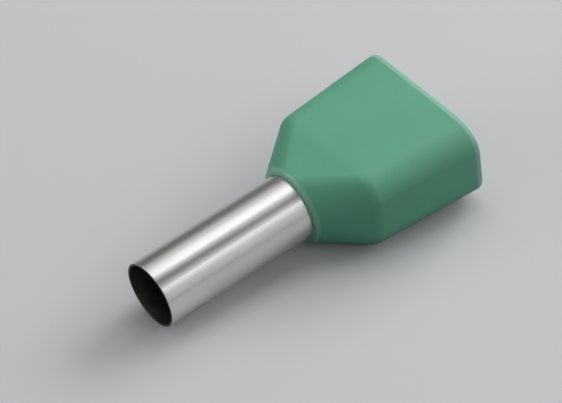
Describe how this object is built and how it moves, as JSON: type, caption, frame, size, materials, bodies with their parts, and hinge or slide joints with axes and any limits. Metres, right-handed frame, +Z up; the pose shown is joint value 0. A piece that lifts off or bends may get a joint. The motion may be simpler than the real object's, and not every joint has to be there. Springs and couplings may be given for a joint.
{
  "type": "twin wire ferrule",
  "caption": "Insulated twin wire ferrule: a tinned copper barrel in a flat green collar with a wide mouth for the wires.",
  "frame": {"origin": "on the barrel's axis, where the bare barrel leaves the collar", "axes": "+X along the barrel and out of its open end, Y across the width of the collar, +Z up out of the collar's flat face"},
  "size_m": [0.026, 0.0132, 0.007],
  "materials": {
    "tinned_copper": "bright tin plate",
    "green_plastic": "satin"
  },
  "bodies": {
    "root": {"barrel": "tinned_copper", "collar": "green_plastic"}
  },
  "joints": []
}
